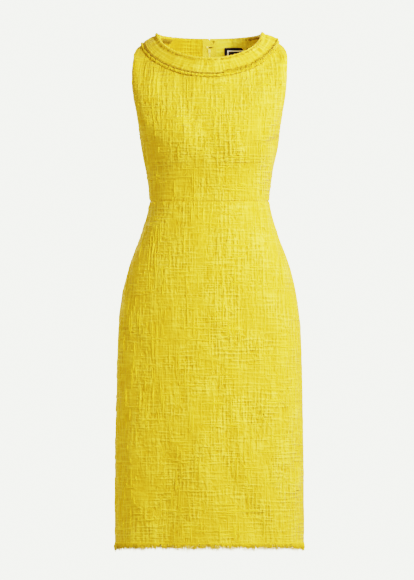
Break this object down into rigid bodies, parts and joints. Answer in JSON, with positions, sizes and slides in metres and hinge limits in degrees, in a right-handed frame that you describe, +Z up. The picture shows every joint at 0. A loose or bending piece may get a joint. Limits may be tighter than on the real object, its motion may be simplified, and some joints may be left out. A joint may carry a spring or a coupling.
{
  "type": "sheath dress",
  "caption": "Sleeveless knee-length sheath dress in yellow slub tweed, with a frayed neck band, a waist seam, a back zip and a frayed hem, filled out with nobody in it.",
  "frame": {"origin": "middle of the neck opening at the height of the shoulder points, where the wearer's shoulders carry the dress", "axes": "+Z up, -Y towards the front of the dress, +X towards the viewer's right when facing its front"},
  "size_m": [0.3821, 0.2569, 1.0414],
  "materials": {
    "tweed": "slub tweed, plain weave with raised broken yarns, matt",
    "band_tweed": "the same tweed, finer and softer, matt",
    "fringe_yarn": "loose frayed cotton yarn",
    "zip_tape": "fine woven tape",
    "zip_metal": "yellow enamel",
    "hook_metal": "dull brass lacquer",
    "label_cloth": "satin-woven navy label with no text"
  },
  "bodies": {
    "dress": {"bodice_front": "tweed", "bodice_back_left": "tweed", "bodice_back_right": "tweed", "skirt_front": "tweed", "skirt_back_left": "tweed", "skirt_back_right": "tweed", "neck_band_front": "band_tweed", "neck_band_back_left": "band_tweed", "neck_band_back_right": "band_tweed", "band_fringe_outer_front": "fringe_yarn", "band_fringe_outer_back_left": "fringe_yarn", "band_fringe_outer_back_right": "fringe_yarn", "band_fringe_inner_front": "fringe_yarn", "band_fringe_inner_back_left": "fringe_yarn", "band_fringe_inner_back_right": "fringe_yarn", "hem_fringe_front": "fringe_yarn", "hem_fringe_back_left": "fringe_yarn", "hem_fringe_back_right": "fringe_yarn", "zip_tape_left": "zip_tape", "zip_tape_right": "zip_tape", "zip_slider": "zip_metal", "neck_hook": "hook_metal", "neck_eye": "hook_metal", "label": "label_cloth"},
    "zip_pull": {"zip_pull_tab": "zip_metal"}
  },
  "joints": [
    {"name": "pull_tab_hinge", "type": "hinge", "parent": "dress", "child": "zip_pull", "pos_m": [0, 0.07515, -0.00979], "axis": [1, 0, 0], "range_deg": [0, 150]}
  ]
}
